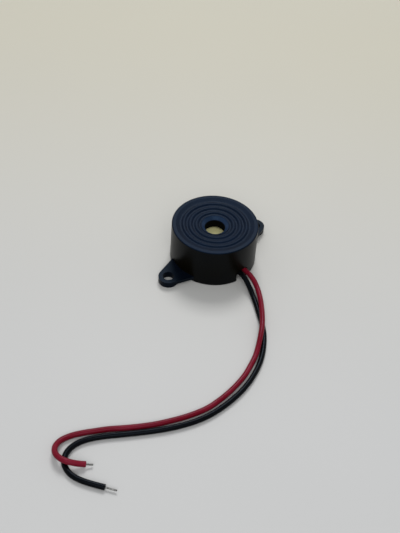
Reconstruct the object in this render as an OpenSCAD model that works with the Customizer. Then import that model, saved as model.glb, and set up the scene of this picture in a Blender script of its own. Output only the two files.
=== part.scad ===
// Active piezo buzzer: a moulded cup with a ringed sound face and two screw ears,
// a piezo disc with its driver board inside, a back cover with a round label,
// and two thin leads with stripped ends that lie on the table.
// Millimetres, +Z up. The origin is the centre of the base, the ears lie along X
// and the leads come out of the wall towards -Y.

/* [Housing] */
// Diameter of the housing at its base
base_d = 22; // [20:0.5:26]
// How much the wall leans in between the base and the sound face
wall_draft = 0.1; // [0:0.05:0.4]
// Height of the housing
body_h = 11; // [10.5:0.5:14]
// Radius of the rounded edge round the sound face
edge_r = 0.3; // [0.2:0.1:0.9]
// Thickness of the sound face
face_t = 1.8; // [1.6:0.1:2.2]

/* [Sound face] */
// Diameter of the sound port
port_d = 5.1; // [4.2:0.1:5.6]
// Depth of the port's edge below the flat band
port_drop = 1.2; // [1:0.1:1.4]
// Width of the funnel round the port
funnel_w = 0.75; // [0.6:0.05:1]
// Distance from the funnel to the first ring groove, across the rounded lip
lip_w = 0.6; // [0.5:0.05:0.8]
// Height of the lip above the groove beside it
lip_h = 0.15; // [0.1:0.05:0.2]
// Number of raised rings between the lip and the flat band
ring_count = 3; // [1:1:3]
// Distance from one ring groove to the next
ring_pitch = 1.6; // [1.2:0.1:1.7]
// Width of a ring groove
groove_w = 0.35; // [0.15:0.05:0.4]
// Depth of a ring groove below the ring's crown
groove_h = 0.25; // [0.15:0.05:0.35]
// How much lower each ring lies than the one outside it
dish_step = 0.08; // [0:0.02:0.12]
// Width of the slope from the outer groove up to the flat band
shoulder_w = 1; // [0.5:0.1:1.2]
// Gap between the neck under the port and the piezo disc
neck_gap = 0.7; // [0.5:0.1:1.5]
// Wall of the neck under the port
neck_wall = 1; // [0.8:0.1:1.5]

/* [Ears] */
// Distance from the wall to the centre of a screw hole
ear_reach = 4; // [3.5:0.1:6]
// Diameter of a screw hole
screw_hole_d = 2.8; // [2.2:0.1:3.2]
// Width of the boss wall round a screw hole
boss_wall = 1.1; // [0.8:0.1:1.4]
// Height of a boss above the base
boss_h = 1.8; // [1.6:0.1:3]
// Thickness of the web that carries a boss
web_t = 0.9; // [0.6:0.1:1.2]
// Width of the web where it meets the wall
web_root_w = 8.8; // [6:0.2:11]
// Height of the sloped edge at the foot of a boss
boss_chamfer = 0.2; // [0.1:0.05:0.4]

/* [Back] */
// Width of the rim round the back cover
rim_w = 1.1; // [0.8:0.1:1.4]
// Height of the sloped edges on both sides of the rim
rim_chamfer = 0.2; // [0.1:0.05:0.3]
// Depth of the back cover below the rim
recess_h = 0.8; // [0.5:0.1:1]
// Thickness of the back cover
cover_t = 1; // [0.8:0.1:1.2]
// Height of the sloped edge round the back cover
cover_chamfer = 0.2; // [0.1:0.05:0.3]
// Width of the ledge that the back cover seats on
cover_ledge_w = 0.6; // [0.4:0.1:0.8]
// Diameter of the round label
label_d = 15; // [10:0.5:17]
// Thickness of the label
label_t = 0.1; // [0.05:0.01:0.2]

/* [Lead slot] */
// Width of the slot that the leads come out of
slot_w = 3.6; // [3.2:0.1:4.4]
// Height of the slot above the base
slot_h = 3.5; // [3.3:0.1:3.6]
// Radius of the slot's upper corners
slot_r = 1.1; // [0.4:0.1:1.2]

/* [Piezo disc] */
// Width of the ledge that the piezo disc is bonded to
plate_ledge_w = 0.8; // [0.6:0.1:1]
// Thickness of the adhesive ring
adhesive_t = 0.1; // [0.05:0.01:0.2]
// Thickness of the brass plate
plate_t = 0.2; // [0.1:0.02:0.3]
// Thickness of the piezo ceramic
ceramic_t = 0.2; // [0.1:0.02:0.3]
// Width of bare brass round the ceramic
brass_rim_w = 2.6; // [1.8:0.1:3]
// Width of bare ceramic round the electrodes
electrode_rim_w = 0.5; // [0.3:0.1:0.8]
// Thickness of an electrode
electrode_t = 0.05; // [0.03:0.01:0.08]
// Width of the feedback electrode
feedback_w = 2; // [1.6:0.1:2.4]
// Gap between the two electrodes
electrode_gap = 0.4; // [0.2:0.05:0.6]

/* [Driver board] */
// Height of the room for the leads between back cover and board
lead_room_h = 1.6; // [1.5:0.1:2]
// Thickness of the board
board_t = 0.8; // [0.6:0.1:1]
// Height of the room for the parts between the board and the piezo disc
part_room_h = 2.25; // [1.6:0.05:2.6]
// Width of the ledge that the board seats on
board_ledge_w = 0.6; // [0.4:0.1:0.8]
// Length of a chip resistor
chip_l = 2; // [1.6:0.1:2.4]
// Width of a chip resistor
chip_w = 1.25; // [0.8:0.05:1.4]
// Height of a chip resistor
chip_h = 0.5; // [0.4:0.05:0.7]
// Length of the transistor's body
transistor_l = 2.9; // [2.4:0.1:3.2]
// Width of the transistor's body
transistor_w = 1.3; // [1.1:0.1:1.6]
// Height of the transistor's body
transistor_h = 1; // [0.8:0.05:1.2]
// Length of the diode's body
diode_l = 2.7; // [2.2:0.1:3]
// Width of the diode's body
diode_w = 1.6; // [1.2:0.1:1.8]
// Height of the diode's body
diode_h = 1.1; // [0.9:0.05:1.2]
// Diameter of a link wire from the board to the piezo disc
link_d = 0.3; // [0.2:0.05:0.4]

/* [Leads] */
// Outer diameter of a lead
lead_d = 1.3; // [1:0.1:1.3]
// Diameter of a lead's tinned strands
strand_d = 0.4; // [0.3:0.05:0.6]
// Length of bare strands at the red lead's free end
red_tip_l = 1.6; // [1:0.1:5]
// Length of bare strands at the black lead's free end
black_tip_l = 2.6; // [1:0.1:5]
// Length of bare strands at a lead's board end
tail_l = 1.6; // [1.4:0.1:2]

/* [Hidden] */
$fn = 64;

// Overrun of a cut past the faces that it opens
overrun = 0.5;
// Clearance round a disc in its bore
disc_gap = 0.1;

// Radii of the housing, from the wall inwards
base_r = base_d / 2;
face_r = base_r - wall_draft;
cover_bore_r = base_r - rim_w;
board_bore_r = cover_bore_r - cover_ledge_w;
plate_bore_r = board_bore_r - board_ledge_w;
chamber_r = plate_bore_r - plate_ledge_w;

// Heights of the seats, from the base up, of the air chamber's roof and of the neck's lower end
cover_seat_z = recess_h + cover_t;
board_z = cover_seat_z + lead_room_h;
board_top_z = board_z + board_t;
electrode_z = board_top_z + part_room_h;
ceramic_z = electrode_z + electrode_t;
plate_z = ceramic_z + ceramic_t;
plate_top_z = plate_z + plate_t;
plate_seat_z = plate_top_z + adhesive_t;
chamber_top_z = body_h - face_t;
neck_z = plate_top_z + neck_gap;

// Radii of the sound face, from the port outwards
port_r = port_d / 2;
neck_r = port_r + neck_wall;
funnel_r = port_r + funnel_w;
inner_groove_r = funnel_r + lip_w;
outer_groove_r = inner_groove_r + ring_count * ring_pitch;
trough_r = outer_groove_r + groove_w / 2;

// Ears
ear_x = base_r + ear_reach;
boss_r = screw_hole_d / 2 + boss_wall;
web_root_r = base_r - rim_w / 2;
web_root = [sqrt(pow(web_root_r, 2) - pow(web_root_w / 2, 2)), web_root_w / 2];

// Discs
cover_r = cover_bore_r - disc_gap;
board_r = board_bore_r - disc_gap;
plate_r = plate_bore_r - disc_gap;
ceramic_r = plate_r - brass_rim_w;
electrode_r = ceramic_r - electrode_rim_w;

// Places on the board, as shares of its radius
transistor_shares = [0, 0.34];
diode_shares = [0.14, -0.4];
base_resistor_shares = [-0.34, 0.02];
drive_resistor_shares = [0.02, -0.06];
feedback_resistor_shares = [0.3, 0.02];
drive_link_shares = [-0.3, -0.34];
// Place of the plate link across the bare brass, from the ceramic to the edge
plate_link_share = 0.45;
// Place of the feedback link, as a share of the electrodes' radius
feedback_link_share = 0.82;
// Inner end of the feedback electrode, as a share of the electrodes' radius
feedback_end_share = 0.72;

// Chip and leg details
chip_cap_l = 0.4;
chip_cap_t = 0.04;
leg_w = 0.4;
leg_t = 0.12;
leg_reach = 0.6;
leg_rise_share = 0.5;
leg_knee_share = 0.5;
leg_spread_share = 0.33;
body_lift = 0.1;

// Solder domes
joint_r = 0.55;
joint_h = 0.35;
lead_joint_r = 1.15;

// Leads: the inner end first, then the slot, the table and the free end
lead_sides = 8;
lead_r = lead_d / 2;
red_route = [
    [2.2, -5.6, 2.6], [1.6, -7.1, 2.6], [1.1, -8.8, 2.6], [0.8, -11, 2.6],
    [0.8, -12.6, 2.5], [0.5, -14.6, 2.1], [-0.3, -16.8, 1.6], [-1.7, -19.2, 1.4],
    [-3.8, -21.9, 1.7], [-6.2, -24.6, 2], [-8.2, -26.6, 2], [-10.4, -28.4, 1.8],
    [-12.7, -30.1, 1.3], [-15.2, -31.7, 0.8], [-18, -33, 0.65], [-21, -34.2, 0.65],
    [-24.2, -35, 0.65], [-27.4, -35.5, 0.65], [-30.6, -35.7, 0.65], [-33.6, -35.6, 0.65],
    [-36.5, -35, 0.65], [-39.4, -34.1, 0.65], [-42.4, -32.9, 0.65], [-45.4, -31.5, 0.65],
    [-48.2, -29.9, 0.65], [-51, -28.1, 0.65], [-53.6, -26.3, 0.65], [-56.4, -24.7, 0.65],
    [-59, -23.3, 0.65], [-61.3, -22.4, 0.65], [-63.5, -22.2, 0.85], [-65.3, -23, 1.3],
    [-66.3, -24.5, 1.75], [-66.4, -26.2, 2.05], [-65.8, -27.7, 2.05], [-64.8, -28.8, 1.7],
    [-63.8, -29.6, 1.3], [-62.8, -30.3, 1]
];
black_route = [
    [-2.2, -5.6, 2.6], [-1.6, -7.1, 2.6], [-1.1, -8.8, 2.6], [-0.8, -11, 2.6],
    [-0.9, -12.4, 2.5], [-1.2, -14, 2], [-1.7, -15.8, 1.3], [-2.6, -17.9, 0.8],
    [-3.8, -20.2, 0.65], [-5.3, -22.7, 0.65], [-7, -25.5, 0.65], [-9, -28.2, 0.65],
    [-11.3, -30.5, 0.65], [-13.8, -32.5, 0.65], [-16.4, -34.1, 0.65], [-19, -35.3, 0.65],
    [-21.8, -36.3, 0.65], [-24.8, -37, 0.65], [-28, -37.4, 0.65], [-31.2, -37.5, 0.65],
    [-34.4, -37.3, 0.65], [-37.4, -36.7, 0.65], [-40.4, -35.7, 0.65], [-43.4, -34.4, 0.65],
    [-46.4, -32.8, 0.65], [-49.4, -31, 0.65], [-52.4, -29.1, 0.65], [-55.2, -27.3, 0.65],
    [-57.8, -25.9, 0.65], [-60.3, -25, 0.65], [-62.6, -24.9, 0.65], [-64.4, -25.5, 0.65],
    [-65.7, -26.7, 0.65], [-66.4, -28.4, 0.65], [-66.4, -30.5, 0.65], [-65.6, -32.7, 0.65],
    [-64.3, -34.9, 0.65], [-62.9, -37, 0.65]
];

// Colours
black_plastic = "#171b21";
cover_plastic = "#1d242c";
label_blue = "#a8deff";
brass = "#b5a25a";
ceramic_white = "#e6e2d6";
silver = "#c3c6c8";
board_green = "#1f5a37";
chip_black = "#1a1a1c";
solder_grey = "#b4b8bb";
red_cover = "#8c2530";
black_cover = "#14171b";
clear_glue = "#d8d3bf";

function unit(v) = v / norm(v);

// Radius of the arc that rises by a height over a half width
function crown_r(half_w, rise) = (pow(half_w, 2) + pow(rise, 2)) / (2 * rise);

// Height of the dished crown line of the rings at a radius
function crown_z(r) = body_h - dish_step * (trough_r - r) / ring_pitch;

// Point where the line from a web root corner touches the boss
function boss_touch(corner) =
    let (from_boss = corner - [ear_x, 0],
         bearing = atan2(from_boss.y, from_boss.x) - acos(boss_r / norm(from_boss)))
    [ear_x + boss_r * cos(bearing), boss_r * sin(bearing)];

// Heading of a lead at one of its route points
function heading(route, i) = unit(route[min(i + 1, len(route) - 1)] - route[max(i - 1, 0)]);

// Ring of points round a lead at one of its route points
function lead_ring(route, i) =
    let (along = heading(route, i),
         across = unit(cross(along, [0, 0, 1])),
         over = cross(across, along))
    [for (k = [0:lead_sides - 1])
        let (turn = 360 * k / lead_sides)
        route[i] + lead_r * (cos(turn) * across + sin(turn) * over)];

// Outer form of the cup, with its sloped foot and its rounded face edge
module cup_form() {
    rotate_extrude() {
        polygon([
            [0, 0], [base_r - rim_chamfer, 0], [base_r, rim_chamfer],
            [face_r, body_h - edge_r], [face_r - edge_r, body_h], [0, body_h]
        ]);
        translate([face_r - edge_r, body_h - edge_r]) circle(r = edge_r);
    }
}

// Stepped bores that seat the cover, the board and the piezo disc, round the neck of the port
module cup_bores() {
    rotate_extrude() polygon([
        [0, -overrun], [cover_bore_r + rim_chamfer, -overrun], [cover_bore_r + rim_chamfer, 0],
        [cover_bore_r, rim_chamfer], [cover_bore_r, cover_seat_z],
        [board_bore_r, cover_seat_z], [board_bore_r, board_top_z],
        [plate_bore_r, board_top_z], [plate_bore_r, plate_seat_z],
        [chamber_r, plate_seat_z], [chamber_r, chamber_top_z], [neck_r, chamber_top_z],
        [neck_r, neck_z], [0, neck_z]
    ]);
}

// Section of one rounded ring, given the radii of its two feet and its height above them
module ring_section(foot_in, foot_out, rise) {
    arc_r = crown_r((foot_out - foot_in) / 2, rise);
    middle = (foot_in + foot_out) / 2;
    translate([middle, crown_z(middle) - groove_h + rise - arc_r]) circle(r = arc_r);
}

// Cut that leaves the rings and the lip standing and opens the funnel and the port
module face_cut() {
    rotate_extrude() difference() {
        polygon([
            [0, neck_z - overrun], [port_r, neck_z - overrun],
            [port_r, body_h - port_drop], [funnel_r, crown_z(funnel_r) - groove_h],
            [trough_r, body_h - groove_h], [trough_r + 2 * shoulder_w, body_h + groove_h],
            [0, body_h + groove_h]
        ]);
        ring_section(funnel_r, inner_groove_r - groove_w / 2, lip_h);
        for (i = [0:ring_count - 1]) {
            foot = inner_groove_r + i * ring_pitch;
            ring_section(foot + groove_w / 2, foot + ring_pitch - groove_w / 2, groove_h);
        }
    }
}

// One screw ear on the +X side: a boss on a web that widens towards the wall
module ear() {
    touch = boss_touch(web_root);
    translate([0, 0, boss_h - web_t]) linear_extrude(web_t) {
        polygon([[web_root.x, -web_root.y], [touch.x, -touch.y], touch, web_root]);
        translate([ear_x, 0]) circle(r = boss_r);
    }
    translate([ear_x, 0, boss_chamfer]) cylinder(r = boss_r, h = boss_h - boss_chamfer);
    translate([ear_x, 0, 0]) cylinder(r1 = boss_r - boss_chamfer, r2 = boss_r, h = boss_chamfer);
}

// Slot through the -Y wall, open to the base, with rounded upper corners
module lead_slot() {
    corner_x = slot_w / 2 - slot_r;
    rotate([90, 0, 0]) linear_extrude(base_r + overrun) {
        translate([-slot_w / 2, -overrun]) square([slot_w, slot_h - slot_r + overrun]);
        translate([-corner_x, -overrun]) square([2 * corner_x, slot_h + overrun]);
        for (x = [-corner_x, corner_x]) translate([x, slot_h - slot_r]) circle(r = slot_r);
    }
}

module housing() {
    color(black_plastic) difference() {
        union() {
            cup_form();
            ear();
            mirror([1, 0, 0]) ear();
        }
        cup_bores();
        face_cut();
        lead_slot();
        for (x = [-ear_x, ear_x])
            translate([x, 0, -overrun]) cylinder(d = screw_hole_d, h = boss_h + 2 * overrun);
    }
}

module back_cover() {
    color(cover_plastic) translate([0, 0, recess_h]) {
        cylinder(r1 = cover_r - cover_chamfer, r2 = cover_r, h = cover_chamfer);
        translate([0, 0, cover_chamfer]) cylinder(r = cover_r, h = cover_t - cover_chamfer);
    }
}

module label() {
    color(label_blue) translate([0, 0, recess_h - label_t]) cylinder(d = label_d, h = label_t);
}

module adhesive_ring() {
    color(clear_glue) translate([0, 0, plate_top_z]) difference() {
        cylinder(r = plate_r, h = adhesive_t);
        translate([0, 0, -overrun]) cylinder(r = chamber_r, h = adhesive_t + 2 * overrun);
    }
}

module piezo_plate() {
    color(brass) translate([0, 0, plate_z]) cylinder(r = plate_r, h = plate_t);
}

module piezo_ceramic() {
    color(ceramic_white) translate([0, 0, ceramic_z]) cylinder(r = ceramic_r, h = ceramic_t);
}

// Outline of the feedback electrode's tongue, with an even margin round it
module tongue(margin) {
    translate([feedback_end_share * electrode_r, 0]) {
        circle(d = feedback_w + 2 * margin);
        translate([0, -feedback_w / 2 - margin]) square([electrode_r, feedback_w + 2 * margin]);
    }
}

module main_electrode() {
    color(silver) translate([0, 0, electrode_z]) linear_extrude(electrode_t) difference() {
        circle(r = electrode_r);
        tongue(electrode_gap);
    }
}

module feedback_electrode() {
    color(silver) translate([0, 0, electrode_z]) linear_extrude(electrode_t) intersection() {
        circle(r = electrode_r);
        tongue(0);
    }
}

module circuit_board() {
    color(board_green) translate([0, 0, board_z]) cylinder(r = board_r, h = board_t);
}

// Puts its children on the board's upper face
module on_board(place_shares, turn = 0) {
    translate([place_shares.x * board_r, place_shares.y * board_r, board_top_z])
        rotate([0, 0, turn]) children();
}

// Box centred on the board's upper face
module chip_box(l, w, h) {
    translate([-l / 2, -w / 2, 0]) cube([l, w, h]);
}

// Chip resistor: a flat body between two plated ends
module chip_resistor() {
    chip_box(chip_l, chip_w, chip_h);
    for (side = [-1, 1])
        translate([side * (chip_l - chip_cap_l) / 2, 0, 0])
            chip_box(chip_cap_l, chip_w + 2 * chip_cap_t, chip_h + chip_cap_t);
}

// Bent leg that leaves a body's side towards +X and stands on the board
module leg(carried_h) {
    rise = leg_rise_share * carried_h;
    knee = leg_knee_share * leg_reach;
    rotate([90, 0, 0]) translate([0, 0, -leg_w / 2]) linear_extrude(leg_w) polygon([
        [-leg_t, rise], [knee, rise], [knee, leg_t], [leg_reach, leg_t], [leg_reach, 0],
        [knee - leg_t, 0], [knee - leg_t, rise - leg_t], [-leg_t, rise - leg_t]
    ]);
}

// Moulded body a little clear of the board
module lifted_body(l, w, h) {
    translate([0, 0, body_lift]) chip_box(l, w, h - body_lift);
}

module transistor() {
    spread = leg_spread_share * transistor_l;
    color(chip_black) on_board(transistor_shares) {
        lifted_body(transistor_l, transistor_w, transistor_h);
        translate([0, transistor_w / 2, 0]) rotate([0, 0, 90]) leg(transistor_h);
        for (x = [-spread, spread])
            translate([x, -transistor_w / 2, 0]) rotate([0, 0, -90]) leg(transistor_h);
    }
}

module diode() {
    color(chip_black) on_board(diode_shares) {
        lifted_body(diode_l, diode_w, diode_h);
        for (turn = [0, 180]) rotate([0, 0, turn]) translate([diode_l / 2, 0, 0]) leg(diode_h);
    }
}

module base_resistor() {
    color(chip_black) on_board(base_resistor_shares, 90) chip_resistor();
}

module drive_resistor() {
    color(chip_black) on_board(drive_resistor_shares) chip_resistor();
}

module feedback_resistor() {
    color(chip_black) on_board(feedback_resistor_shares, 90) chip_resistor();
}

// Places of the three link wires
plate_link_place = [0, ceramic_r + plate_link_share * brass_rim_w];
drive_link_place = board_r * drive_link_shares;
feedback_link_place = [feedback_link_share * electrode_r, 0];

// Straight wire from the board's upper face to a height under the piezo disc
module link(place, top_z) {
    translate([place.x, place.y, board_top_z]) cylinder(d = link_d, h = top_z - board_top_z);
}

module plate_link() {
    color(silver) link(plate_link_place, plate_z);
}

module drive_link() {
    color(silver) link(drive_link_place, electrode_z);
}

module feedback_link() {
    color(silver) link(feedback_link_place, electrode_z);
}

// Solder dome with a bore for its wire, on a face at z that looks up or down
module joint(place, z, looks_up) {
    dome_r = crown_r(joint_r, joint_h);
    translate([place.x, place.y, z]) mirror([0, 0, looks_up ? 0 : 1]) difference() {
        rotate_extrude() intersection() {
            translate([0, joint_h - dome_r]) circle(r = dome_r);
            square([joint_r, joint_h]);
        }
        translate([0, 0, -overrun]) cylinder(d = link_d, h = joint_h + 2 * overrun);
    }
}

module disc_solder() {
    color(solder_grey) {
        joint(plate_link_place, plate_z, false);
        joint(drive_link_place, electrode_z, false);
        joint(feedback_link_place, electrode_z, false);
    }
}

// Bare strands in line with a lead's end, running on from it
module strands(end, along, length) {
    translate(end) rotate([0, acos(along.z), atan2(along.y, along.x)])
        cylinder(d = strand_d, h = length);
}

module lead_tail(route) {
    strands(route[0], -heading(route, 0), tail_l);
}

module lead_tip(route, length) {
    strands(route[len(route) - 1], heading(route, len(route) - 1), length);
}

// Solder dome under the board that holds the tail of a lead
module lead_joint(route) {
    middle = route[0] - tail_l * heading(route, 0);
    difference() {
        translate([middle.x, middle.y, board_z]) intersection() {
            sphere(r = lead_joint_r);
            translate([0, 0, -lead_joint_r]) cylinder(r = lead_joint_r, h = lead_joint_r);
        }
        lead_tail(route);
    }
}

module board_solder() {
    color(solder_grey) {
        for (place = [plate_link_place, drive_link_place, feedback_link_place])
            joint(place, board_top_z, true);
        lead_joint(red_route);
        lead_joint(black_route);
    }
}

// Insulated lead, swept along its route
module lead(route) {
    rings = len(route);
    n = lead_sides;
    polyhedron(
        points = [for (i = [0:rings - 1]) each lead_ring(route, i)],
        faces = [
            [for (k = [n - 1:-1:0]) k],
            for (i = [0:rings - 2]) for (k = [0:n - 1])
                let (next = (k + 1) % n)
                [i * n + k, i * n + next, (i + 1) * n + next, (i + 1) * n + k],
            [for (k = [0:n - 1]) (rings - 1) * n + k]
        ]
    );
}

module red_lead() {
    color(red_cover) lead(red_route);
}

module red_lead_tip() {
    color(silver) lead_tip(red_route, red_tip_l);
}

module red_lead_tail() {
    color(silver) lead_tail(red_route);
}

module black_lead() {
    color(black_cover) lead(black_route);
}

module black_lead_tip() {
    color(silver) lead_tip(black_route, black_tip_l);
}

module black_lead_tail() {
    color(silver) lead_tail(black_route);
}

housing();
back_cover();
label();
adhesive_ring();
piezo_plate();
piezo_ceramic();
main_electrode();
feedback_electrode();
circuit_board();
transistor();
diode();
base_resistor();
drive_resistor();
feedback_resistor();
plate_link();
drive_link();
feedback_link();
disc_solder();
board_solder();
red_lead();
red_lead_tip();
red_lead_tail();
black_lead();
black_lead_tip();
black_lead_tail();
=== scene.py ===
"""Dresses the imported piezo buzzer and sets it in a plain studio.

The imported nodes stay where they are. Each gets a finish of its own, the two leads get round,
smoothly bent insulation, and their bare ends get twisted, tinned strands.
"""

import logging
import math
from dataclasses import dataclass, field
from enum import Enum
from typing import Any, ClassVar, Optional, Sequence, Union

import bmesh
import bpy
from mathutils import Matrix, Vector


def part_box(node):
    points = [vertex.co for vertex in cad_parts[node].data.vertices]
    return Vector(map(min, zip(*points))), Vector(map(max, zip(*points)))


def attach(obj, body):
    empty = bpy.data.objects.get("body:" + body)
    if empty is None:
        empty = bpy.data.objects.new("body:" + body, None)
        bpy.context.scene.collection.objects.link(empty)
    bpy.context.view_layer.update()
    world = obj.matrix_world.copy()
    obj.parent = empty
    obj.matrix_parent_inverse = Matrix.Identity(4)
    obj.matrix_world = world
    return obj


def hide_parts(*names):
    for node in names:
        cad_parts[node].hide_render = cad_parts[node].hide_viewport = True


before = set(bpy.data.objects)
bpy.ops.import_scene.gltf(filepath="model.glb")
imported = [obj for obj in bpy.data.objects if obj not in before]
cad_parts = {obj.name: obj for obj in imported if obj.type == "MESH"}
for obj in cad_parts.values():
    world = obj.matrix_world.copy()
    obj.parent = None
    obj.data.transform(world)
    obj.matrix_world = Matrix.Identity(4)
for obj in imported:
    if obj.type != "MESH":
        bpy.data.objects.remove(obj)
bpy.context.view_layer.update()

LOG = logging.getLogger("buzzer")
MM = 0.001
BODY = "root"
IMAGE_W, IMAGE_H = 400, 533

Color = tuple[float, float, float]
Point = tuple[float, float, float]
Range = tuple[float, float]


class Axis(Enum):
    """An axis of the part's frame, by its place in a vector."""

    X = 0
    Y = 1
    Z = 2


class Signal:
    """A value that varies over a surface. Arithmetic on it adds Math nodes."""

    centre: ClassVar[float] = 0.5

    def __init__(self, graph: "Graph", socket: bpy.types.NodeSocket) -> None:
        """Wraps a socket of a graph."""
        self.graph = graph
        self.socket = socket

    def _math(self, operation: str, *values: "Number") -> "Signal":
        """Adds one Math node.

        Args:
            operation: the Math node's operation.
            values: its operands, in order.

        Returns:
            The node's result.
        """
        return self.graph.signal("ShaderNodeMath", {"operation": operation}, dict(enumerate(values)))

    def __add__(self, other: "Number") -> "Signal":
        """Sum."""
        return self._math("ADD", self, other)

    def __radd__(self, other: "Number") -> "Signal":
        """Sum with a number on the left."""
        return self._math("ADD", other, self)

    def __sub__(self, other: "Number") -> "Signal":
        """Difference."""
        return self._math("SUBTRACT", self, other)

    def __rsub__(self, other: "Number") -> "Signal":
        """Difference with a number on the left."""
        return self._math("SUBTRACT", other, self)

    def __mul__(self, other: "Number") -> "Signal":
        """Product."""
        return self._math("MULTIPLY", self, other)

    def __rmul__(self, other: "Number") -> "Signal":
        """Product with a number on the left."""
        return self._math("MULTIPLY", other, self)

    def __abs__(self) -> "Signal":
        """Size without sign."""
        return self._math("ABSOLUTE", self)

    def step(self, low: float, high: float) -> "Signal":
        """Smooth step from 0 at low to 1 at high, or the other way round if high is the lower."""
        settings = {"interpolation_type": "SMOOTHSTEP"}
        return self.graph.signal(
            "ShaderNodeMapRange", settings, {"Value": self, "From Min": low, "From Max": high}
        )

    def swing(self, reach: float) -> "Signal":
        """The distance of a noise from its centre, times a reach."""
        return reach * (self - self.centre)


Number = Union[float, Signal]


class Graph:
    """The node graph of a material or a world, with short ways to add the nodes that they share."""

    def __init__(self, owner: Union[bpy.types.Material, bpy.types.World]) -> None:
        """Empties the owner's graph.

        Args:
            owner: the material or the world.
        """
        owner.use_nodes = True
        self.owner = owner
        self.tree = owner.node_tree
        self.tree.nodes.clear()
        self.position = self.signal("ShaderNodeTexCoord", out="Object")

    @staticmethod
    def _socket(sockets: Sequence[bpy.types.NodeSocket], key: Union[int, str]) -> bpy.types.NodeSocket:
        """Finds a socket.

        Args:
            sockets: a node's inputs or outputs.
            key: its index, its identifier or its name.

        Returns:
            The socket.
        """
        if isinstance(key, int):
            return sockets[key]
        named = [s for s in sockets if s.identifier == key] or [s for s in sockets if s.name == key]
        return named[0]

    def add(
        self,
        kind: str,
        settings: Optional[dict[str, Any]] = None,
        inputs: Optional[dict[Union[int, str], Any]] = None,
    ) -> bpy.types.Node:
        """Adds a node.

        Args:
            kind: the node's type.
            settings: its properties, set first.
            inputs: a value or a signal for each named socket.

        Returns:
            The node.
        """
        node = self.tree.nodes.new(kind)
        for key, value in (settings or {}).items():
            setattr(node, key, value)
        for key, value in (inputs or {}).items():
            socket = self._socket(node.inputs, key)
            if isinstance(value, Signal):
                self.tree.links.new(value.socket, socket)
            elif socket.type == "RGBA":
                socket.default_value = (*value, 1.0)
            else:
                socket.default_value = value
        return node

    def signal(
        self,
        kind: str,
        settings: Optional[dict[str, Any]] = None,
        inputs: Optional[dict[Union[int, str], Any]] = None,
        out: Union[int, str] = 0,
    ) -> Signal:
        """Adds a node and wraps one of its outputs.

        Args:
            kind, settings, inputs: as for add.
            out: the output's index or name.

        Returns:
            The output.
        """
        return Signal(self, self._socket(self.add(kind, settings, inputs).outputs, out))

    def noise(self, grain: float, detail: float = 2.0, stretch: Point = (1.0, 1.0, 1.0)) -> Signal:
        """Noise of a real size.

        Args:
            grain: size of a blotch, in metres.
            detail: octaves of finer blotches.
            stretch: how often the pattern repeats along X, Y and Z.

        Returns:
            A value about 0.5.
        """
        place = self.position
        if stretch != (1.0, 1.0, 1.0):
            place = self.signal("ShaderNodeMapping", None, {"Vector": place, "Scale": stretch})
        inputs = {"Vector": place, "Scale": 1.0 / grain, "Detail": detail}
        return self.signal("ShaderNodeTexNoise", None, inputs, "Fac")

    def coordinate(self, axis: Axis) -> Signal:
        """One coordinate of the surface point, in metres."""
        return self.signal("ShaderNodeSeparateXYZ", None, {"Vector": self.position}, axis.value)

    def radius(self) -> Signal:
        """Distance of the surface point from the part's Z axis.

        Returns:
            The distance, in metres.
        """
        flatten = {0: self.position, 1: (1.0, 1.0, 0.0)}
        flat = self.signal("ShaderNodeVectorMath", {"operation": "MULTIPLY"}, flatten)
        return self.signal("ShaderNodeVectorMath", {"operation": "LENGTH"}, {0: flat}, "Value")

    def upward(self) -> Signal:
        """How far the surface faces up: 1 on a flat top, 0 on an upright wall."""
        normal = self.signal("ShaderNodeTexCoord", out="Normal")
        return self.signal("ShaderNodeSeparateXYZ", None, {"Vector": normal}, Axis.Z.value)

    def seen(self) -> Signal:
        """Tells what the viewer sees, straight or in metal and glass, from other light.

        Returns:
            1 for camera, glossy and transmission rays, and 0 for the rest.
        """
        rays = self.add("ShaderNodeLightPath").outputs
        camera, glossy, clear = (
            Signal(self, rays[f"Is {kind} Ray"]) for kind in ("Camera", "Glossy", "Transmission")
        )
        return camera + glossy + clear

    def mix(self, factor: Number, low: Union[Color, Signal], high: Union[Color, Signal]) -> Signal:
        """Blends two colours.

        Args:
            factor: 0 gives low and 1 gives high.
            low, high: the colours.

        Returns:
            The blend.
        """
        inputs = {"Factor_Float": factor, "A_Color": low, "B_Color": high}
        return self.signal("ShaderNodeMix", {"data_type": "RGBA"}, inputs, "Result_Color")

    def scaled(self, color: Union[Color, Signal], factor: Number) -> Signal:
        """A colour made brighter or darker by a factor."""
        return self.signal("ShaderNodeVectorMath", {"operation": "SCALE"}, {0: color, "Scale": factor})

    def bump(self, height: Signal, depth: float) -> Signal:
        """Normal of a relief.

        Args:
            height: the relief, from 0 to 1.
            depth: its real depth, in metres.

        Returns:
            The bumped normal.
        """
        inputs = {"Height": height, "Distance": depth, "Strength": 1.0}
        return self.signal("ShaderNodeBump", None, inputs, "Normal")

    def close(
        self, fade: Optional[Signal] = None, fade_color: Optional[Color] = None, **surface: Any
    ) -> bpy.types.Material:
        """Ends the graph in a Principled surface.

        Args:
            fade: where the surface gives way to a plain bright colour, from 0 to 1.
            fade_color: that colour.
            surface: the surface's sockets, in lower case and with underscores for spaces.

        Returns:
            The material.
        """
        inputs = {
            key.replace("_", " ").title().replace("Ior", "IOR"): value for key, value in surface.items()
        }
        lit = self.signal("ShaderNodeBsdfPrincipled", None, inputs)
        if fade is not None:
            plain = self.signal("ShaderNodeEmission", None, {"Color": fade_color})
            lit = self.signal("ShaderNodeMixShader", None, {0: fade, 1: lit, 2: plain})
        self.add("ShaderNodeOutputMaterial", None, {"Surface": lit})
        return self.owner


def shaded(color: Color, share: float) -> Color:
    """A constant colour made darker or lighter by a share."""
    red, green, blue = color
    return (share * red, share * green, share * blue)


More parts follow.
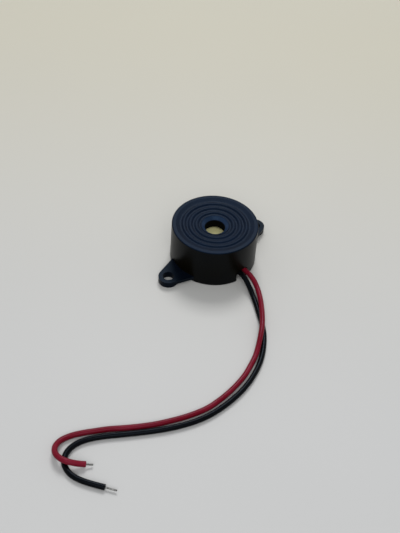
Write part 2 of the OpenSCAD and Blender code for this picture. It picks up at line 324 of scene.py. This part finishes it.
@dataclass(frozen=True)
class MouldedPlastic:
    """Black moulded plastic: glossy upright walls, duller surfaces face up with a painted blue sky
    reflection, grain and flow marks.
    """

    sheen: ClassVar[float] = 0.088
    sheen_tint: ClassVar[Color] = (0.37, 0.63, 1.0)
    up_range: ClassVar[Range] = (0.2, 0.9)
    dust: ClassVar[Color] = (0.012, 0.014, 0.018)
    dust_range: ClassVar[Range] = (0.66, 0.8)
    dust_share: ClassVar[float] = 0.4
    flow_range: ClassVar[Range] = (0.3, 0.75)
    flow_low: ClassVar[float] = 0.9
    flow_gain: ClassVar[float] = 0.4
    flow_swing: ClassVar[float] = 0.12
    grain_swing: ClassVar[float] = 0.1

    name: str
    wall: Color
    # The face colour is painted: black plastic with the blue reflection of the sky above painted in,
    # used where the surface faces up.
    face: Color
    wall_roughness: float = 0.34
    face_roughness: float = 0.5
    grain: float = 0.09 * MM
    grain_depth: float = 0.004 * MM
    flow: float = 5 * MM
    speck: float = 0.35 * MM

    def material(self) -> bpy.types.Material:
        """Builds the finish.

        Returns:
            The material.
        """
        g = Graph(bpy.data.materials.new(self.name))
        # Surfaces that face up get the painted blue sky reflection and the duller finish.
        up = g.upward().step(*self.up_range)
        flow = g.noise(self.flow, detail=3.0)
        grain = g.noise(self.grain, detail=3.0)
        dust = g.noise(self.speck).step(*self.dust_range)
        brightness = self.flow_low + self.flow_gain * flow.step(*self.flow_range)
        tone = g.scaled(self.tone(g, up), brightness)
        marks = flow.swing(self.flow_swing) + grain.swing(self.grain_swing)
        return g.close(
            base_color=g.mix(self.dust_share * dust, tone, self.dust),
            roughness=self.roughness(g, up) + marks,
            normal=g.bump(grain, self.grain_depth),
            specular_ior_level=self.sheen,
            specular_tint=self.sheen_tint,
        )

    def tone(self, g: Graph, up: Signal) -> Signal:
        """Colour of the bare plastic, with a painted blue sky reflection mixed in by how far it faces
        up.
        """
        return g.mix(up, self.wall, self.face)

    def roughness(self, g: Graph, up: Signal) -> Signal:
        """Roughness of the bare plastic, by how far it faces up."""
        return self.wall_roughness + (self.face_roughness - self.wall_roughness) * up


@dataclass(frozen=True)
class SoundFacePlastic(MouldedPlastic):
    """Moulded plastic of a cup: a smooth funnel round the port with a painted blue glint, a dull bore
    and darker ears with a fainter painted sky reflection.
    """

    # The funnel colour is a painted glint: a brighter blue that stands for the light the funnel's far
    # wall reflects.
    funnel: Color = (0.014, 0.028, 0.06)
    funnel_r: float = 3.4 * MM
    funnel_z: float = 9.85 * MM
    funnel_roughness: float = 0.22
    # The ear colour is dark, with a fainter painted blue sky reflection than the face.
    ear_faint_painted_reflection: Color = (0.001, 0.0022, 0.005)
    wall_r: float = 11.05 * MM
    bore_roughness: float = 1.0
    blend: float = 0.1 * MM

    def _above(self, g: Graph) -> Signal:
        """1 above the foot of the funnel and 0 below it."""
        return g.coordinate(Axis.Z).step(self.funnel_z - self.blend, self.funnel_z + self.blend)

    def _near_port(self, g: Graph) -> Signal:
        """1 inside the funnel's rim and 0 outside it."""
        return g.radius().step(self.funnel_r + self.blend, self.funnel_r - self.blend)

    def tone(self, g: Graph, up: Signal) -> Signal:
        """Colour of the bare plastic, with a painted blue glint in the funnel and a darker colour with
        a fainter painted sky reflection on the ears.

        Args:
            g: the finish's graph.
            up: how far the surface faces up.

        Returns:
            The colour.
        """
        ears = g.radius().step(self.wall_r - self.blend, self.wall_r + self.blend)
        cup = g.mix(ears, super().tone(g, up), self.ear_faint_painted_reflection)
        # Paints the funnel's blue glint over the cup.
        return g.mix(self._near_port(g) * self._above(g), cup, self.funnel)

    def roughness(self, g: Graph, up: Signal) -> Signal:
        """Roughness of the bare plastic, smoother in the funnel and dull in the port's bore.

        Args:
            g: the finish's graph.
            up: how far the surface faces up.

        Returns:
            The roughness.
        """
        plain = super().roughness(g, up)
        port = self.bore_roughness + (self.funnel_roughness - self.bore_roughness) * self._above(g)
        return plain + self._near_port(g) * (port - plain)


@dataclass(frozen=True)
class CoatedPaper:
    """Pale coated label paper with one printed dividing line."""

    fibre: ClassVar[float] = 0.25 * MM
    fibre_stretch: ClassVar[Point] = (1.0, 0.3, 1.0)
    fibre_depth: ClassVar[float] = 0.004 * MM
    fibre_share: ClassVar[float] = 0.35
    fibre_swing: ClassVar[float] = 0.15
    cloud: ClassVar[float] = 4 * MM
    cloud_share: ClassVar[float] = 0.4
    shade_share: ClassVar[float] = 0.86
    roughness: ClassVar[float] = 0.5
    line_edges: ClassVar[Range] = (1.3, 0.7)
    line_end_share: ClassVar[float] = 0.98

    name: str
    color: Color
    ink: Color
    line_y: float
    line_half_l: float
    line_half_w: float = 0.12 * MM

    def material(self) -> bpy.types.Material:
        """Builds the finish.

        Returns:
            The material.
        """
        g = Graph(bpy.data.materials.new(self.name))
        fibre = g.noise(self.fibre, 4.0, self.fibre_stretch)
        cloud = g.noise(self.cloud)
        shade = self.fibre_share * fibre + self.cloud_share * cloud
        paper = g.mix(shade, self.color, shaded(self.color, self.shade_share))
        outer, inner = (share * self.line_half_w for share in self.line_edges)
        across = abs(g.coordinate(Axis.Y) - self.line_y).step(outer, inner)
        along = abs(g.coordinate(Axis.X)).step(self.line_half_l, self.line_end_share * self.line_half_l)
        return g.close(
            base_color=g.mix(across * along, paper, self.ink),
            roughness=self.roughness + fibre.swing(self.fibre_swing),
            normal=g.bump(fibre, self.fibre_depth),
        )


@dataclass(frozen=True)
class RolledMetal:
    """Sheet or fired metal with fine lines along one axis and a dull bloom in patches."""

    line_stretch: ClassVar[float] = 0.05
    line_depth: ClassVar[float] = 0.003 * MM
    line_swing: ClassVar[float] = 0.2
    bloom_range: ClassVar[Range] = (0.4, 0.7)
    bloom_share: ClassVar[float] = 0.6
    bloom_roughness: ClassVar[float] = 0.15

    name: str
    color: Color
    dull: Color
    roughness: float = 0.4
    line: float = 0.08 * MM
    along: Axis = Axis.X
    patch: float = 1.5 * MM
    metallic: float = 1.0

    def material(self) -> bpy.types.Material:
        """Builds the finish.

        Returns:
            The material.
        """
        g = Graph(bpy.data.materials.new(self.name))
        stretch = tuple(self.line_stretch if axis is self.along else 1.0 for axis in Axis)
        lines = g.noise(self.line, 3.0, stretch)
        bloom = g.noise(self.patch, detail=4.0).step(*self.bloom_range)
        return g.close(
            base_color=g.mix(self.bloom_share * bloom, self.color, self.dull),
            metallic=self.metallic,
            roughness=self.roughness + self.bloom_roughness * bloom + lines.swing(self.line_swing),
            normal=g.bump(lines, self.line_depth),
        )


@dataclass(frozen=True)
class FiredCeramic:
    """Pale fired ceramic with a fine open grain."""

    grain: ClassVar[float] = 0.06 * MM
    grain_depth: ClassVar[float] = 0.004 * MM
    grain_share: ClassVar[float] = 0.4
    grain_swing: ClassVar[float] = 0.2
    cloud: ClassVar[float] = 2 * MM
    cloud_share: ClassVar[float] = 0.3
    shade_share: ClassVar[float] = 0.8
    roughness: ClassVar[float] = 0.6

    name: str
    color: Color

    def material(self) -> bpy.types.Material:
        """Builds the finish.

        Returns:
            The material.
        """
        g = Graph(bpy.data.materials.new(self.name))
        grain = g.noise(self.grain, detail=3.0)
        cloud = g.noise(self.cloud)
        shade = self.grain_share * grain + self.cloud_share * cloud
        return g.close(
            base_color=g.mix(shade, self.color, shaded(self.color, self.shade_share)),
            roughness=self.roughness + grain.swing(self.grain_swing),
            normal=g.bump(grain, self.grain_depth),
        )


@dataclass(frozen=True)
class ElasticAdhesive:
    """Half clear elastic adhesive with small bubbles."""

    bubble: ClassVar[float] = 0.5 * MM
    bubble_range: ClassVar[Range] = (0.25, 0.15)
    bubble_depth: ClassVar[float] = 0.02 * MM
    bubble_share: ClassVar[float] = 0.4
    cloud: ClassVar[float] = 1.2 * MM
    cloud_share: ClassVar[float] = 0.5
    cloud_roughness: ClassVar[float] = 0.2
    shade_share: ClassVar[float] = 0.75
    roughness: ClassVar[float] = 0.3

    name: str
    color: Color

    def material(self) -> bpy.types.Material:
        """Builds the finish.

        Returns:
            The material.
        """
        g = Graph(bpy.data.materials.new(self.name))
        cells = {"Vector": g.position, "Scale": 1.0 / self.bubble}
        bubble = g.signal("ShaderNodeTexVoronoi", None, cells, "Distance").step(*self.bubble_range)
        cloud = g.noise(self.cloud)
        shade = self.cloud_share * cloud + self.bubble_share * bubble
        return g.close(
            base_color=g.mix(shade, self.color, shaded(self.color, self.shade_share)),
            roughness=self.roughness + self.cloud_roughness * cloud,
            normal=g.bump(bubble, self.bubble_depth),
        )


@dataclass(frozen=True)
class BoardLaminate:
    """Green lacquered laminate with its glass weave showing faintly and copper tracks under it."""

    weave: ClassVar[float] = 0.5 * MM
    weave_share: ClassVar[float] = 0.25
    weave_relief: ClassVar[float] = 0.3
    cloud: ClassVar[float] = 1.5 * MM
    cloud_share: ClassVar[float] = 0.4
    cloud_roughness: ClassVar[float] = 0.15
    track: ClassVar[float] = 2.2 * MM
    track_range: ClassVar[Range] = (0.5, 0.53)
    track_share: ClassVar[float] = 0.35
    track_relief: ClassVar[float] = 0.7
    relief_depth: ClassVar[float] = 0.02 * MM
    light_share: ClassVar[float] = 1.5
    roughness: ClassVar[float] = 0.35

    name: str
    color: Color
    copper: Color

    def material(self) -> bpy.types.Material:
        """Builds the finish.

        Returns:
            The material.
        """
        g = Graph(bpy.data.materials.new(self.name))
        threads = {"Vector": g.position, "Scale": 1.0 / self.weave}
        weave = g.signal("ShaderNodeTexChecker", None, threads, "Fac")
        cloud = g.noise(self.cloud, detail=3.0)
        tracks = g.noise(self.track, detail=0.0).step(*self.track_range)
        light = self.weave_share * weave + self.cloud_share * cloud
        lacquer = g.mix(light, self.color, shaded(self.color, self.light_share))
        relief = self.weave_relief * weave + self.track_relief * tracks
        return g.close(
            base_color=g.mix(self.track_share * tracks, lacquer, self.copper),
            roughness=self.roughness + self.cloud_roughness * cloud,
            normal=g.bump(relief, self.relief_depth),
        )


@dataclass(frozen=True)
class PlatedChip:
    """Chip part: a dull moulded middle between tin-plated ends or legs."""

    grain: ClassVar[float] = 0.05 * MM
    grain_depth: ClassVar[float] = 0.004 * MM
    grain_swing: ClassVar[float] = 0.15
    light_share: ClassVar[float] = 1.8
    blend: ClassVar[float] = 0.02 * MM
    roughness: ClassVar[float] = 0.55
    plated_gloss: ClassVar[float] = 0.2

    name: str
    body: Color
    plating: Color
    along: Axis
    centre: float
    half_body: float

    def material(self) -> bpy.types.Material:
        """Builds the finish.

        Returns:
            The material.
        """
        g = Graph(bpy.data.materials.new(self.name))
        away = abs(g.coordinate(self.along) - self.centre)
        plated = away.step(self.half_body - self.blend, self.half_body + self.blend)
        grain = g.noise(self.grain, detail=3.0)
        resin = g.mix(grain, self.body, shaded(self.body, self.light_share))
        return g.close(
            base_color=g.mix(plated, resin, self.plating),
            metallic=plated,
            roughness=self.roughness - self.plated_gloss * plated + grain.swing(self.grain_swing),
            normal=g.bump(grain, self.grain_depth),
        )


@dataclass(frozen=True)
class LeadInsulation:
    """Soft extruded insulation: a satin skin with a faint grain and paler stretches at random."""

    sheen_tint: ClassVar[Color] = (0.6, 0.75, 1.0)
    pale_stretch: ClassVar[float] = 6 * MM
    pale_stretch_range: ClassVar[Range] = (0.35, 0.75)
    skin: ClassVar[float] = 0.12 * MM
    skin_depth: ClassVar[float] = 0.006 * MM
    skin_share: ClassVar[float] = 0.25
    shade_share: ClassVar[float] = 0.7
    swing: ClassVar[float] = 0.15

    name: str
    color: Color
    pale: Color
    roughness: float = 0.34
    gloss: float = 0.15

    def material(self) -> bpy.types.Material:
        """Builds the finish.

        Returns:
            The material.
        """
        g = Graph(bpy.data.materials.new(self.name))
        pale_stretch = g.noise(self.pale_stretch, detail=3.0)
        skin = g.noise(self.skin, detail=3.0)
        tone = g.mix(pale_stretch.step(*self.pale_stretch_range), self.color, self.pale)
        return g.close(
            base_color=g.mix(self.skin_share * skin, tone, shaded(self.color, self.shade_share)),
            roughness=self.roughness + pale_stretch.swing(self.swing) + skin.swing(self.swing),
            normal=g.bump(skin, self.skin_depth),
            specular_ior_level=self.gloss,
            specular_tint=self.sheen_tint,
        )


@dataclass(frozen=True)
class TableTop:
    """Plain pale table, a little warmer far from the viewer, that fades into the room."""

    cloud: ClassVar[float] = 60 * MM
    cloud_share: ClassVar[float] = 0.06
    cloud_swing: ClassVar[float] = 0.1
    shade_share: ClassVar[float] = 0.8
    grain: ClassVar[float] = 0.5 * MM
    grain_depth: ClassVar[float] = 0.004 * MM
    roughness: ClassVar[float] = 0.55
    gloss: ClassVar[float] = 0.3

    name: str
    near: Color
    far: Color
    toward: tuple[float, float]
    near_at: float
    far_at: float
    room: Color
    fade_from: float = 0.18
    fade_to: float = 0.6

    def material(self) -> bpy.types.Material:
        """Builds the finish.

        Returns:
            The material.
        """
        g = Graph(bpy.data.materials.new(self.name))
        depth = g.coordinate(Axis.X) * self.toward[0] + g.coordinate(Axis.Y) * self.toward[1]
        cloud = g.noise(self.cloud)
        tone = g.mix(depth.step(self.near_at, self.far_at), self.near, self.far)
        return g.close(
            base_color=g.mix(self.cloud_share * cloud, tone, shaded(self.near, self.shade_share)),
            roughness=self.roughness + cloud.swing(self.cloud_swing),
            normal=g.bump(g.noise(self.grain), self.grain_depth),
            specular_ior_level=self.gloss,
            fade=g.seen() * g.radius().step(self.fade_from, self.fade_to),
            fade_color=self.room,
        )


def link(piece: bpy.types.Object) -> bpy.types.Object:
    """Puts a piece in the scene."""
    bpy.context.scene.collection.objects.link(piece)
    return piece


def mesh_piece(name: str, bm: bmesh.types.BMesh, material: bpy.types.Material) -> bpy.types.Object:
    """Makes a smooth-shaded piece of a bmesh, which is freed.

    Args:
        name: the piece's name.
        bm: its mesh, in place.
        material: its finish.

    Returns:
        The piece, linked to the scene.
    """
    for face in bm.faces:
        face.smooth = True
    mesh = bpy.data.meshes.new(name)
    bm.to_mesh(mesh)
    bm.free()
    mesh.materials.append(material)
    return link(bpy.data.objects.new(name, mesh))


def dress_node(name: str, material: bpy.types.Material) -> None:
    """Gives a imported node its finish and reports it."""
    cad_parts[name].material_slots[0].material = material
    LOG.info("dressed %s with %s", name, material.name)


def middle(name: str) -> Vector:
    """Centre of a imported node's box."""
    low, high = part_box(name)
    return (low + high) / 2


@dataclass
class MouldedHousing:
    """The moulded cup with its ringed sound face and screw ears."""

    node: str = "housing"
    plastic: SoundFacePlastic = SoundFacePlastic(
        "housing_black",
        wall=(0.0025, 0.0018, 0.0004),
        # face holds the painted blue sky reflection of the surfaces that face up.
        face=(0.0015, 0.0045, 0.0135),
        wall_roughness=0.34,
        face_roughness=0.42,
    )

    def build(self) -> None:
        """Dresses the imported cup."""
        dress_node(self.node, self.plastic.material())


@dataclass
class BackClosure:
    """The recessed back cover and the round label on it."""

    cover: MouldedPlastic = MouldedPlastic(
        "cover_black",
        wall=(0.003, 0.0045, 0.0065),
        # face holds the painted blue sky reflection of the surfaces that face up.
        face=(0.006, 0.012, 0.024),
        wall_roughness=0.55,
        face_roughness=0.6,
    )
    paper_color: Color = (0.4, 0.72, 0.95)
    ink: Color = (0.03, 0.035, 0.05)
    line_drop_share: float = 0.2
    line_reach_share: float = 0.9

    def build(self) -> None:
        """Dresses the cover and the label."""
        dress_node("back_cover", self.cover.material())
        low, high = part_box("label")
        radius = (high.x - low.x) / 2
        line_y = -self.line_drop_share * radius
        half_l = self.line_reach_share * math.sqrt(radius**2 - line_y**2)
        label = CoatedPaper("label_pale_blue", self.paper_color, self.ink, line_y, half_l)
        dress_node("label", label.material())


@dataclass
class PiezoDisc:
    """The bonded brass plate with its ceramic and electrodes."""

    adhesive: ElasticAdhesive = ElasticAdhesive("disc_adhesive", (0.65, 0.62, 0.5))
    brass: RolledMetal = RolledMetal(
        "plate_brass", (0.88, 0.83, 0.42), (0.76, 0.72, 0.38), roughness=0.6, metallic=0.25
    )
    ceramic: FiredCeramic = FiredCeramic("disc_ceramic", (0.78, 0.75, 0.66))
    silver: RolledMetal = RolledMetal(
        "electrode_silver", (0.66, 0.66, 0.65), (0.5, 0.49, 0.46), roughness=0.45
    )

    def build(self) -> None:
        """Dresses the disc's layers."""
        dress_node("adhesive_ring", self.adhesive.material())
        dress_node("piezo_plate", self.brass.material())
        dress_node("piezo_ceramic", self.ceramic.material())
        silver = self.silver.material()
        for name in ("main_electrode", "feedback_electrode"):
            dress_node(name, silver)


@dataclass
class DriverBoard:
    """The driver board with its chip parts, link wires and solder."""

    laminate: BoardLaminate = BoardLaminate("board_green", (0.02, 0.12, 0.045), (0.12, 0.3, 0.1))
    wire: RolledMetal = RolledMetal(
        "link_tinned", (0.6, 0.6, 0.59), (0.45, 0.44, 0.42), roughness=0.35, along=Axis.Z
    )
    solder: RolledMetal = RolledMetal(
        "joint_solder", (0.56, 0.57, 0.58), (0.4, 0.4, 0.41), roughness=0.3, patch=0.4 * MM
    )
    epoxy: Color = (0.012, 0.012, 0.013)
    tin: Color = (0.55, 0.55, 0.54)
    chip_cap: float = 0.4 * MM
    leg_reach: float = 0.6 * MM
    chips: dict[str, Axis] = field(
        default_factory=lambda: {
            "transistor": Axis.Y,
            "diode": Axis.X,
            "base_resistor": Axis.Y,
            "drive_resistor": Axis.X,
            "feedback_resistor": Axis.Y,
        }
    )

    def build(self) -> None:
        """Dresses the board and what is soldered to it."""
        dress_node("circuit_board", self.laminate.material())
        wire = self.wire.material()
        for name in ("plate_link", "drive_link", "feedback_link"):
            dress_node(name, wire)
        solder = self.solder.material()
        for name in ("disc_solder", "board_solder"):
            dress_node(name, solder)
        for name, along in self.chips.items():
            self._dress_chip(name, along)

    def _dress_chip(self, name: str, along: Axis) -> None:
        """Dresses one chip part.

        Args:
            name: its node.
            along: the axis from one plated end to the other.
        """
        low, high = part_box(name)
        plated = self.chip_cap if name.endswith("resistor") else self.leg_reach
        half_body = (high - low)[along.value] / 2 - plated
        centre = middle(name)[along.value]
        chip = PlatedChip(f"{name}_plated", self.epoxy, self.tin, along, centre, half_body)
        dress_node(name, chip.material())


@dataclass
class Lead:
    """One insulated lead: its bent insulation and the twisted strands at its free end."""

    name: str
    route: Sequence[Point]
    insulation: LeadInsulation
    slot: str
    tip_l: float
    diameter: float = 1.3 * MM
    exit_at: int = 3
    side_steps: int = 5
    bend_steps: int = 8
    handle_split: float = 3.0
    strand_d: float = 0.145 * MM
    outer_strands: int = 6
    twist: float = math.radians(190)
    twist_steps: int = 24
    strand_sides: int = 10
    end_shares: tuple[float, ...] = (1.0, 0.95, 0.98, 0.92, 0.99, 0.94, 0.97)
    strands: ClassVar[RolledMetal] = RolledMetal(
        "lead_strands_tinned",
        (0.24, 0.24, 0.235),
        (0.13, 0.13, 0.125),
        roughness=0.42,
        along=Axis.Z,
        patch=0.5 * MM,
    )

    def build(self) -> None:
        """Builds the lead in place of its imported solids."""
        points = [Vector(p) * MM for p in self.route]
        cover = self._insulation(points)
        tip = self._strands(points[-1], (points[-1] - points[-2]).normalized())
        for piece, node, slot in (
            (cover, f"{self.name}_lead", self.slot),
            (tip, f"{self.name}_lead_tip", "tinned_wire"),
        ):
            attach(piece, BODY)
            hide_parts(node)
            LOG.info("built %s", piece.name)
        dress_node(f"{self.name}_lead_tail", tip.data.materials[0])

    def _insulation(self, points: Sequence[Vector]) -> bpy.types.Object:
        """Bends round insulation along the route.

        Args:
            points: the route, in metres.

        Returns:
            The insulation, a curve of one spline.
        """
        curve = bpy.data.curves.new(f"{self.name}_insulation", "CURVE")
        curve.dimensions = "3D"
        curve.bevel_depth = self.diameter / 2
        curve.bevel_resolution = self.side_steps
        curve.resolution_u = self.bend_steps
        curve.use_fill_caps = True
        spline = curve.splines.new("BEZIER")
        spline.bezier_points.add(len(points) - 1)
        for i, knot in enumerate(spline.bezier_points):
            before = points[max(i - 1, 0)]
            here = points[i]
            after = points[min(i + 1, len(points) - 1)]
            along = (after - before).normalized()
            knot.co = here
            knot.handle_left_type = "FREE"
            knot.handle_right_type = "FREE"
            knot.handle_left = self._handle(here, -along, (before - here).length)
            knot.handle_right = self._handle(here, along, (after - here).length)
        curve.materials.append(self.insulation.material())
        return link(bpy.data.objects.new(f"{self.name}_insulation", curve))

    def _handle(self, here: Vector, along: Vector, gap: float) -> Vector:
        """Places one handle of a knot, no lower than a lead that lies on the table.

        Args:
            here: the knot.
            along: the way from the knot to the handle.
            gap: distance to the next knot on that side.

        Returns:
            The handle's place.
        """
        handle = here + along * (gap / self.handle_split)
        handle.z = max(handle.z, self.diameter / 2)
        return handle

    def _strands(self, start: Vector, along: Vector) -> bpy.types.Object:
        """Twists the bare strands at the free end.

        Args:
            start: where they leave the insulation.
            along: the way that they point.

        Returns:
            The bundle of strands.
        """
        bm = bmesh.new()
        for i, share in enumerate(self.end_shares):
            self._strand(bm, i, share * self.tip_l)
        bmesh.ops.recalc_face_normals(bm, faces=bm.faces)
        place = Matrix.Translation(start) @ along.to_track_quat("Z", "Y").to_matrix().to_4x4()
        bmesh.ops.transform(bm, matrix=place, verts=bm.verts)
        return mesh_piece(f"{self.name}_strands", bm, self.strands.material())

    def _strand(self, bm: bmesh.types.BMesh, i: int, length: float) -> None:
        """Adds one strand along +Z: the first is straight, the others wind round it.

        Args:
            bm: the bundle.
            i: which strand it is.
            length: its length.
        """
        offset = Vector((0.0 if i == 0 else self.strand_d, 0.0, 0.0))
        turn = Matrix.Rotation(2 * math.pi * i / self.outer_strands, 4, "Z")
        ring = bmesh.ops.create_circle(
            bm, cap_ends=True, radius=self.strand_d / 2, segments=self.strand_sides,
            matrix=turn @ Matrix.Translation(offset),
        )
        caps = list({f for v in ring["verts"] for f in v.link_faces})
        bmesh.ops.spin(
            bm, geom=caps, cent=(0, 0, 0), axis=(0, 0, 1), dvec=(0, 0, length / self.twist_steps),
            angle=self.twist, steps=self.twist_steps, use_merge=False, use_duplicate=False,
        )


@dataclass(frozen=True)
class SoftLight:
    """A square soft light that faces the part."""

    name: str
    place: Point
    size: float
    power: float

    def hang(self) -> None:
        """Hangs the light in the room."""
        lamp = bpy.data.lights.new(self.name, "AREA")
        lamp.size = self.size
        lamp.energy = self.power
        body = link(bpy.data.objects.new(self.name, lamp))
        body.location = self.place
        body.rotation_euler = (-Vector(self.place)).to_track_quat("-Z", "Y").to_euler()
        LOG.info("hung %s", self.name)


@dataclass
class Studio:
    """The plain table, the soft light and the camera at the picture's angle."""

    aim: Point = (-5.35 * MM, -1.15 * MM, 0.0)
    distance: float = 229.94 * MM
    azimuth: float = math.radians(-44.5)
    elevation: float = math.radians(45.08)
    roll: float = math.radians(4.26)
    focal_px: float = 900.0
    sensor: float = 36.0
    table_half: float = 3.0
    room: Color = (0.62, 0.63, 0.63)
    table: TableTop = TableTop(
        "table_pale",
        near=(0.575, 0.575, 0.57),
        far=(0.58, 0.555, 0.46),
        toward=(0.70, 0.713),
        near_at=-60 * MM,
        far_at=120 * MM,
        room=room,
    )
    lights: tuple[SoftLight, ...] = (
        SoftLight("window_light", (0.46, 0.46, 0.89), size=0.4, power=5.5),
        SoftLight("room_light", (-0.46, -0.46, 0.75), size=0.7, power=3.7),
    )
    sky: Color = (0.38, 0.39, 0.4)

    def build(self) -> None:
        """Sets the table, the light and the camera."""
        self._table()
        self._sky()
        for light in self.lights:
            light.hang()
        self._camera()

    def _table(self) -> None:
        """Lays the table under the part."""
        bm = bmesh.new()
        bmesh.ops.create_grid(bm, x_segments=1, y_segments=1, size=self.table_half)
        top = mesh_piece("table_top", bm, self.table.material())

    def _sky(self) -> None:
        """Fills the room with an even light, and shows the viewer a paler room."""
        world = bpy.data.worlds.new("room")
        g = Graph(world)
        light = g.signal("ShaderNodeBackground", None, {"Color": g.mix(g.seen(), self.sky, self.room)})
        g.add("ShaderNodeOutputWorld", None, {"Surface": light})
        bpy.context.scene.world = world

    def _camera(self) -> None:
        """Sets the camera at the picture's angle."""
        flat = math.cos(self.elevation)
        aside = math.sin(self.azimuth) * flat
        behind = -math.cos(self.azimuth) * flat
        back = Vector((aside, behind, math.sin(self.elevation)))
        camera = bpy.data.cameras.new("camera")
        camera.sensor_width = self.sensor
        camera.lens = self.focal_px * self.sensor / max(IMAGE_W, IMAGE_H)
        camera.clip_start = MM
        body = link(bpy.data.objects.new("camera", camera))
        turn = (-back).to_track_quat("-Z", "Y").to_matrix() @ Matrix.Rotation(self.roll, 3, "Z")
        body.matrix_world = Matrix.Translation(Vector(self.aim) + back * self.distance) @ turn.to_4x4()
        bpy.context.scene.camera = body


# Centre lines of the leads in millimetres, from the board to the bare end.
RED_ROUTE: tuple[Point, ...] = (
    (2.2, -5.6, 2.6), (1.6, -7.1, 2.6), (1.1, -8.8, 2.6), (0.8, -11, 2.6),
    (0.8, -12.6, 2.5), (0.5, -14.6, 2.1), (-0.3, -16.8, 1.6), (-1.7, -19.2, 1.4),
    (-3.8, -21.9, 1.7), (-6.2, -24.6, 2), (-8.2, -26.6, 2), (-10.4, -28.4, 1.8),
    (-12.7, -30.1, 1.3), (-15.2, -31.7, 0.8), (-18, -33, 0.65), (-21, -34.2, 0.65),
    (-24.2, -35, 0.65), (-27.4, -35.5, 0.65), (-30.6, -35.7, 0.65), (-33.6, -35.6, 0.65),
    (-36.5, -35, 0.65), (-39.4, -34.1, 0.65), (-42.4, -32.9, 0.65), (-45.4, -31.5, 0.65),
    (-48.2, -29.9, 0.65), (-51, -28.1, 0.65), (-53.6, -26.3, 0.65), (-56.4, -24.7, 0.65),
    (-59, -23.3, 0.65), (-61.3, -22.4, 0.65), (-63.5, -22.2, 0.85), (-65.3, -23, 1.3),
    (-66.3, -24.5, 1.75), (-66.4, -26.2, 2.05), (-65.8, -27.7, 2.05), (-64.8, -28.8, 1.7),
    (-63.8, -29.6, 1.3), (-62.8, -30.3, 1),
)
BLACK_ROUTE: tuple[Point, ...] = (
    (-2.2, -5.6, 2.6), (-1.6, -7.1, 2.6), (-1.1, -8.8, 2.6), (-0.8, -11, 2.6),
    (-0.9, -12.4, 2.5), (-1.2, -14, 2), (-1.7, -15.8, 1.3), (-2.6, -17.9, 0.8),
    (-3.8, -20.2, 0.65), (-5.3, -22.7, 0.65), (-7, -25.5, 0.65), (-9, -28.2, 0.65),
    (-11.3, -30.5, 0.65), (-13.8, -32.5, 0.65), (-16.4, -34.1, 0.65), (-19, -35.3, 0.65),
    (-21.8, -36.3, 0.65), (-24.8, -37, 0.65), (-28, -37.4, 0.65), (-31.2, -37.5, 0.65),
    (-34.4, -37.3, 0.65), (-37.4, -36.7, 0.65), (-40.4, -35.7, 0.65), (-43.4, -34.4, 0.65),
    (-46.4, -32.8, 0.65), (-49.4, -31, 0.65), (-52.4, -29.1, 0.65), (-55.2, -27.3, 0.65),
    (-57.8, -25.9, 0.65), (-60.3, -25, 0.65), (-62.6, -24.9, 0.65), (-64.4, -25.5, 0.65),
    (-65.7, -26.7, 0.65), (-66.4, -28.4, 0.65), (-66.4, -30.5, 0.65), (-65.6, -32.7, 0.65),
    (-64.3, -34.9, 0.65), (-62.9, -37, 0.65),
)


def main() -> None:
    """Builds the buzzer's sub-assemblies and the studio in order."""
    logging.basicConfig(level=logging.INFO, format="%(name)s: %(message)s")
    bpy.context.scene.view_settings.view_transform = "Standard"
    red = LeadInsulation(
        "lead_red", (0.15, 0.002, 0.01), (0.205, 0.01, 0.025), roughness=0.3, gloss=0.12
    )
    black = LeadInsulation(
        "lead_black", (0.0012, 0.0012, 0.0013), (0.0021, 0.002, 0.0021), roughness=0.28, gloss=0.08
    )
    for assembly in (
        Studio(),
        Lead("red", RED_ROUTE, red, "red_cover", tip_l=1.6 * MM),
        Lead("black", BLACK_ROUTE, black, "black_cover", tip_l=2.6 * MM),
        MouldedHousing(),
        BackClosure(),
        PiezoDisc(),
        DriverBoard(),
    ):
        assembly.build()


if __name__ == "__main__":
    main()
